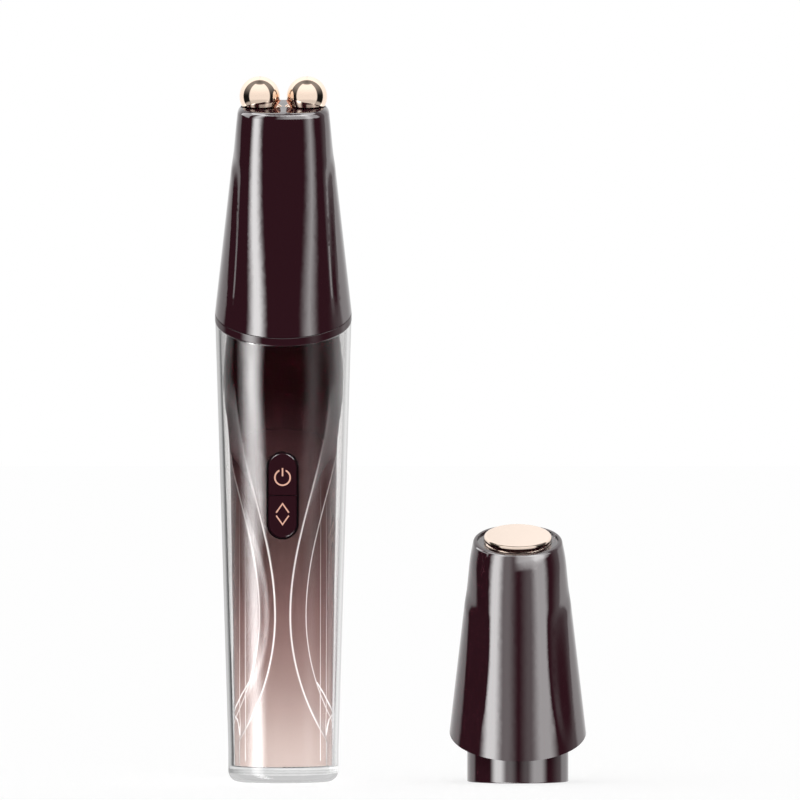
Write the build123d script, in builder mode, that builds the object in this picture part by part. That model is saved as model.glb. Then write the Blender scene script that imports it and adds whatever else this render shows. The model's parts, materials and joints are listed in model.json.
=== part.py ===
"""A handheld facial light therapy device with two interchangeable heads, in millimetres.

The handle stands upright on the origin: a clear thick-walled shell over a sculpted core that
holds the battery, the board, the vibration motor and the two keys. The roller head is plugged
into it. The spare head, with the light ring and the warm plate, stands beside it. The front of
all three faces -Y, and +Z is up.
"""
from build123d import *
from math import cos, exp, hypot, pi, radians, sin, sqrt
import os

os.makedirs("parts", exist_ok=True)

# Handle: clear shell and core
FOOT_RADIUS = 14.85
FOOT_HEIGHT = 9
FOOT_ROUNDING = 3
SHELL_TOP_RADIUS = 18.35
SHELL_TOP_HEIGHT = 124
SHELL_WALL = 1.35
BASE_THICKNESS = 4.15
CORE_FLOOR = 4.3
CORE_GAP = 0.3

# Parting plane between the handle and either head
SEAM_HEIGHT = 127
SEAM_SLOPE = 0.40
RIM_RADIUS = 18.45
SEAM_GAP = 0.15
COLLAR_HEIGHT = 2.4

# Plug that both heads share, and the socket for it
SPIGOT_RADIUS = 13.7
SPIGOT_DEPTH = 13.5
SOCKET_CLEARANCE = 0.15
KEYWAY_WIDTH = 3

# Two-key pill on the front
PILL_WIDTH = 7.5
PILL_HEIGHT = 22.7
PILL_CENTRE = 77.4
KEY_PROUD = 0.3

# Roller head and its two balls
ROLLER_TOP = 182.4
ROLLER_TOP_SLOPE = 0.238
BALL_RADIUS = 5.48
BALL_SPACING = 12.75
BALL_HEIGHT = 184.95
AXLE_ANGLE = 32
BALL_CLEARANCE = 0.42

# Spare head with the light ring
SPARE_X = 63.3
SPARE_TOP = 65.2
SPARE_TOP_SLOPE = 0.36
PLATE_RADIUS = 9.15
MOUTH_RADIUS = 11

# Inside the handle
BORE_RADIUS = 11.2
BATTERY_RADIUS = 7
BATTERY_LENGTH = 50
BOARD_FACE = -9.6
PORT_HEIGHT = 19.5

SOCKET_RADIUS = SPIGOT_RADIUS + SOCKET_CLEARANCE
SPIGOT_FOOT = SEAM_HEIGHT - SPIGOT_DEPTH
SOCKET_FLOOR = SPIGOT_FOOT - 0.2


def finish(piece, name):
    """Label a finished piece and write it."""
    piece.part.label = name
    export_step(piece.part, f"parts/{name}.step")


def smooth(value):
    """Ease from 0 to 1 as the value goes from 0 to 1."""
    share = min(max(value, 0), 1)
    return share * share * (3 - 2 * share)


def slant(x, height, slope):
    """Plane that crosses the axis at a height and rises towards the back."""
    return Plane(origin=(x, 0, height), x_dir=(1, 0, 0), z_dir=(0, -slope, 1))


def front_plane(depth, height):
    """Upright plane at a depth in front of the axis, seen from the front."""
    return Plane(origin=(0, -depth, height), x_dir=(1, 0, 0), z_dir=(0, -1, 0))


def back_plane(depth, height):
    """Upright plane at a depth behind the axis, seen from the back."""
    return Plane(origin=(0, depth, height), x_dir=(-1, 0, 0), z_dir=(0, 1, 0))


def ring_tube(plane, outer, inner, height):
    """A round tube that stands on a plane."""
    with BuildPart() as tube:
        with BuildSketch(plane):
            Circle(outer)
            Circle(inner, mode=Mode.SUBTRACT)
        extrude(amount=height)
    return tube.part


def shell_profile(growth, low, high):
    """Half outline of the handle's outer surface, grown outwards, from its foot or to its top."""
    with BuildSketch(Plane.XZ) as half:
        with BuildLine():
            Polyline(
                (0, low),
                (FOOT_RADIUS + growth, low),
                (FOOT_RADIUS + growth, FOOT_HEIGHT),
                (SHELL_TOP_RADIUS + growth, SHELL_TOP_HEIGHT),
                (SHELL_TOP_RADIUS + growth, high),
                (0, high),
                close=True,
            )
        make_face()
    return half.sketch


def outer_radius(height):
    """Radius of the handle's outer surface at a height."""
    climb = (height - FOOT_HEIGHT) / (SHELL_TOP_HEIGHT - FOOT_HEIGHT)
    return FOOT_RADIUS + (SHELL_TOP_RADIUS - FOOT_RADIUS) * min(max(climb, 0), 1)


def handle_cone(growth, low, high):
    """The tapered stretch of the handle's outer surface as a solid, grown outwards."""
    low_radius = outer_radius(low) + growth
    high_radius = outer_radius(high) + growth
    with BuildPart() as cone:
        with Locations((0, 0, low)):
            Cone(low_radius, high_radius, high - low, align=(Align.CENTER, Align.CENTER, Align.MIN))
    return cone.part


# Clear shell: one thick-walled acrylic cup, cut by the slanted seam
with BuildPart() as shell_cavity:
    add(shell_profile(-SHELL_WALL, BASE_THICKNESS, 150))
    revolve(axis=Axis.Z)
    fillet(shell_cavity.edges().group_by(Axis.Z)[0], 0.4)

with BuildPart() as clear_shell:
    add(shell_profile(0, 0, 140))
    revolve(axis=Axis.Z)
    fillet(clear_shell.edges().group_by(Axis.Z)[0], FOOT_ROUNDING)
    add(shell_cavity.part, mode=Mode.SUBTRACT)
    split(bisect_by=slant(0, SEAM_HEIGHT - COLLAR_HEIGHT - 0.05, SEAM_SLOPE), keep=Keep.BOTTOM)
    with BuildSketch(front_plane(12, PILL_CENTRE)):
        SlotOverall(PILL_HEIGHT + 1, PILL_WIDTH + 1, rotation=90)
    extrude(amount=10, mode=Mode.SUBTRACT)
    with BuildSketch(back_plane(12, PORT_HEIGHT)):
        SlotOverall(12.7, 6.7)
    extrude(amount=10, mode=Mode.SUBTRACT)
finish(clear_shell, "clear_shell")


# Core: its front and back panels are narrowest at the waist and widest at the shoulder, where
# the four flutes beside them run out
CORE_SIDE = 13.1
CORE_SIDE_TAPER = 0.0145
SHOULDER_SWELL = 1.65
SHOULDER_SPREAD = 11
SHOULDER_HEIGHT = 108
WAIST_HEIGHT = 45
WAIST_HALF_WIDTH = 2
PANEL_GAIN = 10.2
FOOT_FLARE = 0.0082
FLUTE_WIDTH = 4.1
FLUTE_SINK = 1.3
FLUTE_HOLLOW = 0.45
FLUTE_FOOT = 8
FLUTE_TOP = 96
FLUTE_RUN_OUT = 12


def core_widths(height):
    """Half-widths of the core's side, front panel and flute edge, and the front's half-depth."""
    swell = SHOULDER_SWELL * exp(-(((height - SHOULDER_HEIGHT) / SHOULDER_SPREAD) ** 2))
    side = CORE_SIDE + CORE_SIDE_TAPER * height + swell
    front = outer_radius(height) - SHELL_WALL - CORE_GAP
    if height > WAIST_HEIGHT:
        climb = min((height - WAIST_HEIGHT) / (SHOULDER_HEIGHT - WAIST_HEIGHT), 1)
        panel = WAIST_HALF_WIDTH + PANEL_GAIN * (0.5 - 0.5 * cos(pi * climb))
    else:
        panel = WAIST_HALF_WIDTH + FOOT_FLARE * (WAIST_HEIGHT - height) ** 2
    panel = min(panel, side - 2)
    flute = min(panel + FLUTE_WIDTH, side - 0.12)
    return side, panel, flute, front


def core_section(height):
    """Section of the core: front and back panels, two side panels and four flutes between."""
    side, panel, flute, front = core_widths(height)
    run_in = smooth((height - FLUTE_FOOT) / FLUTE_RUN_OUT)
    waist = run_in * (1 - smooth((height - FLUTE_TOP) / FLUTE_RUN_OUT))
    sink = FLUTE_HOLLOW - 1.1 * smooth((height - FLUTE_TOP - 2) / FLUTE_RUN_OUT)
    panel_depth = front * sqrt(1 - (panel / side) ** 2)
    flute_depth = max((front - FLUTE_SINK * waist) * sqrt(1 - (flute / side) ** 2), 0.9)
    run = hypot(flute - panel, panel_depth - flute_depth)
    middle_x = (panel + flute) / 2 - sink * (panel_depth - flute_depth) / run
    middle_y = (panel_depth + flute_depth) / 2 - sink * (flute - panel) / run
    with BuildSketch(Plane.XY.offset(height)) as section:
        with BuildLine():
            ThreePointArc((-panel, -panel_depth), (0, -front), (panel, -panel_depth))
            ThreePointArc((panel, -panel_depth), (middle_x, -middle_y), (flute, -flute_depth))
            ThreePointArc((flute, -flute_depth), (side, 0), (flute, flute_depth))
            ThreePointArc((flute, flute_depth), (middle_x, middle_y), (panel, panel_depth))
            ThreePointArc((panel, panel_depth), (0, front), (-panel, panel_depth))
            ThreePointArc((-panel, panel_depth), (-middle_x, middle_y), (-flute, flute_depth))
            ThreePointArc((-flute, flute_depth), (-side, 0), (-flute, -flute_depth))
            ThreePointArc((-flute, -flute_depth), (-middle_x, -middle_y), (-panel, -panel_depth))
        make_face()
    return section.sketch


# Core sleeve: the painted, fluted body under the clear shell
SEAL_HEIGHT = 117.5
with BuildPart() as core_sleeve:
    loft(sections=[core_section(CORE_FLOOR + 7.6 * level) for level in range(18)])
    with Locations((0, 0, CORE_FLOOR + 2)):
        Cylinder(BORE_RADIUS, 150, align=(Align.CENTER, Align.CENTER, Align.MIN), mode=Mode.SUBTRACT)
    with Locations((0, 0, SOCKET_FLOOR - 2)):
        Cylinder(SOCKET_RADIUS, 40, align=(Align.CENTER, Align.CENTER, Align.MIN), mode=Mode.SUBTRACT)
    with Locations((0, 0, SEAL_HEIGHT)):
        Cylinder(SOCKET_RADIUS + 0.45, 1.4, mode=Mode.SUBTRACT)
    with Locations((0, SOCKET_RADIUS - 0.35, SOCKET_FLOOR + 1.6)):
        Box(KEYWAY_WIDTH - 0.5, 1.2, 2.6)
    split(bisect_by=slant(0, SEAM_HEIGHT - COLLAR_HEIGHT - 0.05, SEAM_SLOPE), keep=Keep.BOTTOM)
    with BuildSketch(front_plane(14.3, PILL_CENTRE)):
        SlotOverall(PILL_HEIGHT + 0.9, PILL_WIDTH + 0.9, rotation=90)
    extrude(amount=6, mode=Mode.SUBTRACT)
    with BuildSketch(front_plane(9, PILL_CENTRE)):
        SlotOverall(PILL_HEIGHT + 0.4, PILL_WIDTH + 0.4, rotation=90)
    extrude(amount=8, mode=Mode.SUBTRACT)
    with BuildSketch(front_plane(8, PILL_CENTRE)):
        SlotOverall(PILL_HEIGHT + 2.5, PILL_WIDTH + 2.5, rotation=90)
    extrude(amount=5.4, mode=Mode.SUBTRACT)
    with BuildSketch(back_plane(9, PORT_HEIGHT)):
        SlotOverall(12.7, 6.7)
    extrude(amount=8, mode=Mode.SUBTRACT)
    with Locations((-5, -3, CORE_FLOOR + 2), (5, -3, CORE_FLOOR + 2)):
        Cylinder(1.8, 10.5, align=(Align.CENTER, Align.CENTER, Align.MIN))
    with Locations((-5, -3, 16.8), (5, -3, 16.8)):
        Cylinder(0.6, 10, mode=Mode.SUBTRACT)
finish(core_sleeve, "core_sleeve")

# Collar ring: caps the clear shell and the core, and meets the head along the seam
with BuildPart() as collar_ring:
    Cylinder(RIM_RADIUS, 160, align=(Align.CENTER, Align.CENTER, Align.MIN))
    Cylinder(SOCKET_RADIUS, 160, align=(Align.CENTER, Align.CENTER, Align.MIN), mode=Mode.SUBTRACT)
    split(bisect_by=slant(0, SEAM_HEIGHT - SEAM_GAP, SEAM_SLOPE), keep=Keep.BOTTOM)
    split(bisect_by=slant(0, SEAM_HEIGHT - COLLAR_HEIGHT, SEAM_SLOPE), keep=Keep.TOP)
    fillet(collar_ring.edges().sort_by(SortBy.LENGTH)[-2:], 0.3)
finish(collar_ring, "collar_ring")

# Socket seal: a square ring in a groove of the socket
with BuildPart() as socket_seal:
    add(ring_tube(Plane.XY.offset(SEAL_HEIGHT - 0.65), SOCKET_RADIUS + 0.42, SPIGOT_RADIUS + 0.06, 1.3))
finish(socket_seal, "socket_seal")

# Socket floor: the disc at the bottom of the socket, screwed to the chassis
SCREW_RADIUS = 0.8
floor_screw_spots = [(9 * cos(radians(angle)), 9 * sin(radians(angle))) for angle in (0, 180)]
with BuildPart() as socket_floor:
    with BuildSketch(Plane.XY.offset(SOCKET_FLOOR - 2)):
        Circle(SOCKET_RADIUS)
        Circle(4, mode=Mode.SUBTRACT)
    extrude(amount=2)
    with Locations([(x, y, SOCKET_FLOOR) for x, y in floor_screw_spots]):
        CounterBoreHole(SCREW_RADIUS, 1.5, 1, depth=2)
finish(socket_floor, "socket_floor")

# Contact block: the round boss that carries the contact pins into the head
pin_spots = [(2.3 * cos(radians(45 + 90 * turn)), 2.3 * sin(radians(45 + 90 * turn))) for turn in range(4)]
with BuildPart() as contact_block:
    with BuildSketch(Plane.XY.offset(SOCKET_FLOOR - 4)):
        Circle(5.2)
    extrude(amount=2)
    with BuildSketch(Plane.XY.offset(SOCKET_FLOOR - 2)):
        Circle(4)
    extrude(amount=3)
    with Locations(pin_spots):
        Cylinder(0.45, 300, mode=Mode.SUBTRACT)
finish(contact_block, "contact_block")

with BuildPart() as contact_pins:
    with Locations([(x, y, SOCKET_FLOOR - 4.8) for x, y in pin_spots]):
        Cylinder(0.45, 6.75, align=(Align.CENTER, Align.CENTER, Align.MIN))
finish(contact_pins, "contact_pins")

# Chassis: a half tube behind the battery, with four cross walls
CHASSIS_FOOT = 24
CHASSIS_TOP = SOCKET_FLOOR - 2
CELL_FOOT = 27
CELL_Y = 1.6
MOTOR_Y = 2
MOTOR_FOOT = 84
cell_top = CELL_FOOT + BATTERY_LENGTH
with BuildPart() as chassis:
    with BuildSketch(Plane.XY.offset(CHASSIS_FOOT)):
        Circle(BORE_RADIUS - 0.15)
        Circle(9.8, mode=Mode.SUBTRACT)
        with Locations((0, -BORE_RADIUS)):
            Rectangle(30, 2 * BORE_RADIUS, mode=Mode.SUBTRACT)
    extrude(amount=CHASSIS_TOP - CHASSIS_FOOT)
    for wall_foot in (CHASSIS_FOOT, cell_top + 1, MOTOR_FOOT - 1.8, CHASSIS_TOP - 4):
        with BuildSketch(Plane.XY.offset(wall_foot)):
            Circle(BORE_RADIUS - 0.15)
            with Locations((0, BOARD_FACE - 5 + 1.2)):
                Rectangle(30, 10, mode=Mode.SUBTRACT)
        extrude(amount=1.8)
    for side in (-1, 1):
        with BuildSketch(Plane.XY.offset(CHASSIS_TOP - 4)):
            with Locations((9 * side, 0)):
                Circle(1.7)
        extrude(amount=4)
    with Locations([(x, y, CHASSIS_TOP) for x, y in floor_screw_spots]):
        Hole(0.6, depth=6)
    with Locations((0, MOTOR_Y, CHASSIS_TOP - 4)):
        Cylinder(5.6, 6, mode=Mode.SUBTRACT)
    with Locations((0, -5, CHASSIS_TOP - 2)):
        Box(6, 8, 8, mode=Mode.SUBTRACT)
finish(chassis, "chassis")

with BuildPart() as floor_screws:
    for x, y in floor_screw_spots:
        with BuildSketch(Plane.XY.offset(SOCKET_FLOOR - 1)):
            with Locations((x, y)):
                Circle(1.4)
        extrude(amount=0.9)
        with BuildSketch(Plane.XY.offset(SOCKET_FLOOR - 6)):
            with Locations((x, y)):
                Circle(0.6)
        extrude(amount=5)
    with Locations([(x, y, SOCKET_FLOOR) for x, y in floor_screw_spots]):
        Box(1.8, 0.35, 0.9, mode=Mode.SUBTRACT)
        Box(0.35, 1.8, 0.9, mode=Mode.SUBTRACT)
finish(floor_screws, "floor_screws")

# Rechargeable cell with its two welded tabs
with BuildPart() as battery:
    with BuildSketch(Plane.XY.offset(CELL_FOOT)):
        with Locations((0, CELL_Y)):
            Circle(BATTERY_RADIUS)
    extrude(amount=BATTERY_LENGTH - 1)
    fillet(battery.edges(), 0.6)
    with BuildSketch(Plane.XY.offset(cell_top - 1)):
        with Locations((0, CELL_Y)):
            Circle(2.6)
    extrude(amount=0.8)
finish(battery, "battery")

with BuildPart() as battery_tabs:
    for tab_foot in (CELL_FOOT - 0.2, cell_top - 0.2):
        with BuildSketch(Plane.XY.offset(tab_foot)):
            with Locations((0, CELL_Y - 4)):
                Rectangle(4, 12)
        extrude(amount=0.2)
finish(battery_tabs, "battery_tabs")

# Main board with its chips and the two key switches
key_centres = [PILL_CENTRE + PILL_HEIGHT / 4, PILL_CENTRE - PILL_HEIGHT / 4]
with BuildPart() as main_board:
    with BuildSketch(front_plane(-BOARD_FACE - 1, 66)):
        RectangleRounded(11, 82, 1)
    extrude(amount=1)
finish(main_board, "main_board")

with BuildPart() as board_chips:
    for chip_height, chip_width, chip_length in ((36, 6, 6), (48, 4, 5), (56, 3, 3), (98, 5, 4)):
        with BuildSketch(front_plane(-BOARD_FACE, chip_height)):
            Rectangle(chip_width, chip_length)
        extrude(amount=1)
finish(board_chips, "board_chips")

with BuildPart() as key_switches:
    for key_height in key_centres:
        with BuildSketch(front_plane(-BOARD_FACE, key_height)):
            Rectangle(3.5, 3.5)
        extrude(amount=1)
        with BuildSketch(front_plane(-BOARD_FACE + 1, key_height)):
            Circle(0.8)
        extrude(amount=0.65)
finish(key_switches, "key_switches")

# Key mat: silicone sheet with a skirt that stands on the board
with BuildPart() as key_mat:
    with BuildSketch(front_plane(11.3, PILL_CENTRE)):
        SlotOverall(PILL_HEIGHT + 2.2, PILL_WIDTH + 2.2, rotation=90)
        with Locations([(0, height - PILL_CENTRE) for height in key_centres]):
            Circle(1.4, mode=Mode.SUBTRACT)
    extrude(amount=0.5)
    with BuildSketch(front_plane(-BOARD_FACE, PILL_CENTRE)):
        SlotOverall(PILL_HEIGHT + 2.2, PILL_WIDTH + 2.2, rotation=90)
        SlotOverall(PILL_HEIGHT + 1, PILL_WIDTH + 1, rotation=90, mode=Mode.SUBTRACT)
    extrude(amount=11.3 + BOARD_FACE)
finish(key_mat, "key_mat")

# Key bezel: the thin dark frame between the keys and the clear shell
with BuildPart() as key_bezel:
    with BuildSketch(front_plane(14.3, PILL_CENTRE)):
        SlotOverall(PILL_HEIGHT + 0.9, PILL_WIDTH + 0.9, rotation=90)
        SlotOverall(PILL_HEIGHT + 0.3, PILL_WIDTH + 0.3, rotation=90, mode=Mode.SUBTRACT)
    extrude(amount=6)
    add(handle_cone(0.05, 50, 100), mode=Mode.INTERSECT)
finish(key_bezel, "key_bezel")


def key_blank(side):
    """One half of the pill: its face follows the handle, and a flange keeps it in."""
    with BuildPart() as blank:
        with BuildSketch(front_plane(13.2, PILL_CENTRE)):
            SlotOverall(PILL_HEIGHT, PILL_WIDTH, rotation=90)
        extrude(amount=6)
        add(handle_cone(KEY_PROUD, 50, 100), mode=Mode.INTERSECT)
        face_edges = blank.faces().sort_by(Axis.Y)[0].edges()
        fillet(face_edges, 0.35)
        with BuildSketch(front_plane(12.4, PILL_CENTRE)):
            SlotOverall(PILL_HEIGHT + 1.7, PILL_WIDTH + 1.7, rotation=90)
        extrude(amount=0.8)
        with BuildSketch(front_plane(11.9, PILL_CENTRE + side * PILL_HEIGHT / 4)):
            Circle(1)
        extrude(amount=0.5)
        with Locations((0, -14, PILL_CENTRE + side * 0.1)):
            Box(20, 10, 20, align=(Align.CENTER, Align.CENTER, Align.MAX if side > 0 else Align.MIN),
                mode=Mode.SUBTRACT)
    return blank.part


INLAY_DEPTH = 0.16
INLAY_SINK = 0.01


def key_with_icon(side, icon):
    """A key with its engraved icon, and the metallic inlay that fills the engraving."""
    with BuildPart() as engraving:
        for outline in icon.faces():
            extrude(outline, amount=8, dir=(0, -1, 0))
        add(handle_cone(KEY_PROUD - INLAY_DEPTH, 40, 110), mode=Mode.SUBTRACT)
    with BuildPart() as inlay:
        add(engraving.part)
        add(handle_cone(KEY_PROUD - INLAY_SINK, 50, 100), mode=Mode.INTERSECT)
    with BuildPart() as engraved:
        add(key_blank(side))
        add(engraving.part, mode=Mode.SUBTRACT)
    return engraved, inlay


# Power icon: an open circle with a short stem
ICON_LINE = 0.42
POWER_ICON_HEIGHT = 82.2
POWER_ICON_RADIUS = 2.26
with BuildSketch(front_plane(12, POWER_ICON_HEIGHT)) as power_mark:
    Circle(POWER_ICON_RADIUS)
    Circle(POWER_ICON_RADIUS - ICON_LINE, mode=Mode.SUBTRACT)
    with Locations((0, POWER_ICON_RADIUS)):
        Rectangle(1.7, 2, mode=Mode.SUBTRACT)
    with Locations((0, 1.45)):
        Rectangle(ICON_LINE, 2.2)

# Level icon: one chevron up and one down
LEVEL_ICON_HEIGHT = 72.4
CHEVRON_HALF_WIDTH = 1.85
CHEVRON_TIP = 3.1
with BuildSketch(front_plane(12, LEVEL_ICON_HEIGHT)) as level_mark:
    for turn in (-1, 1):
        Polygon(
            (CHEVRON_HALF_WIDTH * turn, 0.5 * turn),
            (0, CHEVRON_TIP * turn),
            (-CHEVRON_HALF_WIDTH * turn, 0.5 * turn),
            ((0.32 - CHEVRON_HALF_WIDTH) * turn, 0.3 * turn),
            (0, (CHEVRON_TIP - 0.6) * turn),
            ((CHEVRON_HALF_WIDTH - 0.32) * turn, 0.3 * turn),
            align=None,
        )

power_key, power_icon = key_with_icon(1, power_mark.sketch)
finish(power_key, "power_key")
finish(power_icon, "power_icon")
level_key, level_icon = key_with_icon(-1, level_mark.sketch)
finish(level_key, "level_key")
finish(level_icon, "level_icon")

# Vibration motor: can and rubber sleeve stand still, shaft and weight turn
with BuildPart() as motor_can:
    with BuildSketch(Plane.XY.offset(MOTOR_FOOT)):
        with Locations((0, MOTOR_Y)):
            Circle(3.5)
    extrude(amount=12)
    fillet(motor_can.edges(), 0.4)
    with Locations((0, MOTOR_Y, MOTOR_FOOT + 12)):
        Hole(0.45, depth=10)
finish(motor_can, "motor_can")

with BuildPart() as motor_sleeve:
    with BuildSketch(Plane.XY.offset(MOTOR_FOOT + 0.6)):
        with Locations((0, MOTOR_Y)):
            Circle(4.8)
            Circle(3.5, mode=Mode.SUBTRACT)
    extrude(amount=10)
finish(motor_sleeve, "motor_sleeve")

with BuildPart() as motor_shaft:
    with BuildSketch(Plane.XY.offset(MOTOR_FOOT + 3)):
        with Locations((0, MOTOR_Y)):
            Circle(0.4)
    extrude(amount=13)
finish(motor_shaft, "motor_shaft")

with BuildPart() as eccentric_weight:
    with BuildSketch(Plane.XY.offset(MOTOR_FOOT + 12.8)):
        with Locations((0, MOTOR_Y)):
            Circle(3.2)
            with Locations((0, -2.4)):
                Rectangle(8, 3.2, mode=Mode.SUBTRACT)
            Circle(1.2)
            Circle(0.4, mode=Mode.SUBTRACT)
    extrude(amount=2.6)
finish(eccentric_weight, "eccentric_weight")

# Flat flexible cable from the board to the feet of the contact pins
FLEX_THICKNESS = 0.25
flex_top = SOCKET_FLOOR - 4.8
flex_back = BOARD_FACE + 1
with BuildPart() as flex_cable:
    with BuildSketch(Plane.YZ.offset(-2.5)):
        with BuildLine():
            Polyline(
                (flex_back, 103),
                (flex_back + FLEX_THICKNESS, 103),
                (flex_back + FLEX_THICKNESS, 107),
                (-7.2, flex_top - FLEX_THICKNESS),
                (2.4, flex_top - FLEX_THICKNESS),
                (2.4, flex_top),
                (-7.3, flex_top),
                (flex_back, 107.1),
                close=True,
            )
        make_face()
    extrude(amount=5)
finish(flex_cable, "flex_cable")

# Charging: a small board on two posts, its screws, the socket and the socket's frame
CHARGE_BOARD_FOOT = CORE_FLOOR + 12.5
CHARGE_BOARD_TOP = CHARGE_BOARD_FOOT + 1
with BuildPart() as charge_board:
    with BuildSketch(Plane.XY.offset(CHARGE_BOARD_FOOT)):
        with Locations((0, 1.25)):
            RectangleRounded(14, 14.5, 1)
    extrude(amount=1)
    with Locations((-5, -3, CHARGE_BOARD_FOOT), (5, -3, CHARGE_BOARD_FOOT)):
        Cylinder(0.8, 10, mode=Mode.SUBTRACT)
finish(charge_board, "charge_board")

with BuildPart() as charge_board_screws:
    with Locations((-5, -3, CHARGE_BOARD_TOP), (5, -3, CHARGE_BOARD_TOP)):
        Cylinder(1.4, 0.9, align=(Align.CENTER, Align.CENTER, Align.MIN))
        Cylinder(0.6, 5, align=(Align.CENTER, Align.CENTER, Align.MAX))
finish(charge_board_screws, "charge_board_screws")

with BuildPart() as charging_socket:
    with BuildSketch(back_plane(6.4, PORT_HEIGHT)):
        SlotOverall(8.94, 3.26)
    extrude(amount=7.3)
    with BuildSketch(back_plane(7.4, PORT_HEIGHT)):
        SlotOverall(8.34, 2.66)
    extrude(amount=7.3, mode=Mode.SUBTRACT)
    with BuildSketch(back_plane(7.4, PORT_HEIGHT)):
        RectangleRounded(6.7, 0.7, 0.3)
    extrude(amount=5.4)
    with Locations((0, 6.4, CHARGE_BOARD_TOP)):
        Box(5, 2.1, 0.2, align=(Align.CENTER, Align.MIN, Align.MIN))
finish(charging_socket, "charging_socket")

with BuildPart() as port_bezel:
    with BuildSketch(back_plane(11.7, PORT_HEIGHT)):
        SlotOverall(12.6, 6.6)
        SlotOverall(9.5, 3.8, mode=Mode.SUBTRACT)
    extrude(amount=6)
    add(handle_cone(-0.1, 10, 50), mode=Mode.INTERSECT)
finish(port_bezel, "port_bezel")


class HeadForm:
    """Outer form of a head: sheared sections from the round rim to its own top.

    A side petal stands out on each side. It is widest at the rim and ends in a point below the
    top. A shallow valley lies between each of its edges and the crease that bounds the front or
    the back, and closes above the petal's point. The crease's angle is measured from the side,
    and it gains a little halfway up. The shoulder is how much the form draws in over the last few
    millimetres below the top.
    """

    SHOULDER_LENGTH = 7
    PETAL_HALF_ANGLE = 34
    PETAL_POINT_ANGLE = 14
    VALLEY_DEEPEST = 0.55
    VALLEY_RUN_IN = 12
    VALLEY_END_BELOW_TOP = 3

    def __init__(self, x, rim_height, height, taper, shoulder, top_depth, top_power, top_slope,
                 petal_tip, valley, crease, crease_gain):
        self.x = x
        self.rim_height = rim_height
        self.height = height
        self.taper = taper
        self.shoulder = shoulder
        self.top_depth = top_depth
        self.top_power = top_power
        self.top_slope = top_slope
        self.petal_tip = petal_tip
        self.valley = valley
        self.crease = crease
        self.crease_gain = crease_gain

    def slope(self, rise):
        return SEAM_SLOPE + (self.top_slope - SEAM_SLOPE) * rise / self.height

    def radius(self, rise, angle, inset=0):
        """Distance from the axis, in plan, at a rise above the rim and an angle from the side."""
        share = rise / self.height
        near_top = max(1 - (self.height - rise) / self.SHOULDER_LENGTH, 0)
        drawn_in = inset + self.shoulder * near_top**2
        width = RIM_RADIUS - self.taper * rise - drawn_in
        depth = self.top_depth + (RIM_RADIUS - self.top_depth) * max(1 - share, 0) ** 1.05 - drawn_in
        power = 2 + (self.top_power - 2) * smooth(share * 1.1)
        across = (abs(cos(angle)) / width) ** power
        along = (abs(sin(angle)) / depth) ** power
        plain = (across + along) ** (-1 / power)
        if inset:
            return plain
        from_side = min(angle % pi, pi - angle % pi)
        left = max(1 - (rise / self.petal_tip) ** 1.5, 0)
        past_tip = smooth((rise - self.petal_tip + 1.5) / 3)
        petal_edge = self.PETAL_HALF_ANGLE * left**0.3 - self.PETAL_POINT_ANGLE * past_tip
        crease = self.crease + self.crease_gain * sin(pi * min(share, 1))
        across_valley = (from_side - radians(petal_edge)) / radians(crease - petal_edge)
        far_side = (across_valley - self.VALLEY_DEEPEST) / (1 - self.VALLEY_DEEPEST)
        bump = smooth(across_valley / self.VALLEY_DEEPEST) * (1 - smooth(far_side))
        valley_end = self.height - self.VALLEY_END_BELOW_TOP
        above_tip = (rise - self.petal_tip) / (valley_end - self.petal_tip)
        run_in = smooth(rise / self.VALLEY_RUN_IN)
        return plain - self.valley * run_in * (1 - smooth(above_tip)) * bump

    def section(self, rise, inset=0, points=90):
        slope = self.slope(rise)
        stretch = sqrt(1 + slope**2)
        outline = []
        for turn in range(points):
            angle = 2 * pi * (turn + 0.5) / points
            reach = self.radius(rise, angle, inset)
            outline.append((reach * cos(angle), reach * sin(angle) * stretch))
        with BuildSketch(slant(self.x, self.rim_height + rise, slope)) as ring:
            with BuildLine():
                Spline(outline, periodic=True)
            make_face()
        return ring.sketch


def head_solid(form):
    """The head's outer form as one solid, from its rim to its top."""
    steps = 24
    with BuildPart() as outside:
        loft(sections=[form.section(form.height * step / steps) for step in range(steps + 1)])
    return outside.part


def head_cavity(form, wall, top):
    """The hollow inside a head: the same form without petals, a wall's thickness smaller."""
    with BuildPart() as hollow:
        loft(sections=[form.section(rise, wall, 24) for rise in (-2, top * 0.33, top * 0.67, top)])
    return hollow.part


def plug_spigot(x, foot):
    """The plug of a head: a cup with a slanted flange that closes the head's mouth."""
    rim_height = foot + SPIGOT_DEPTH
    stretch = sqrt(1 + SEAM_SLOPE**2)
    with BuildPart() as spigot:
        with BuildSketch(Plane.XY.offset(foot)):
            with Locations((x, 0)):
                Circle(SPIGOT_RADIUS)
        extrude(amount=SPIGOT_DEPTH + 14)
        fillet(spigot.edges().group_by(Axis.Z)[0], 0.3)
        split(bisect_by=slant(x, rim_height + 4, SEAM_SLOPE), keep=Keep.BOTTOM)
        with BuildSketch(slant(x, rim_height + 0.8, SEAM_SLOPE)):
            Ellipse(RIM_RADIUS - 3.1, (RIM_RADIUS - 3.1) * stretch)
        extrude(amount=1.8, dir=(0, 0, 1))
        with BuildSketch(Plane.XY.offset(foot + 2)):
            with Locations((x, 0)):
                Circle(SPIGOT_RADIUS - 1.5)
        extrude(amount=40, mode=Mode.SUBTRACT)
        with Locations((x, 0, foot)):
            Cylinder(4.4, 10, mode=Mode.SUBTRACT)
        with Locations((x, SPIGOT_RADIUS, foot)):
            Box(KEYWAY_WIDTH, 2.2, 6.4, mode=Mode.SUBTRACT)
    return spigot.part


def contact_board(x, foot):
    """Round board on the floor of a head's plug."""
    with BuildPart() as board:
        with BuildSketch(Plane.XY.offset(foot + 2)):
            with Locations((x, 0)):
                Circle(8)
        extrude(amount=1)
    return board.part


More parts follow.
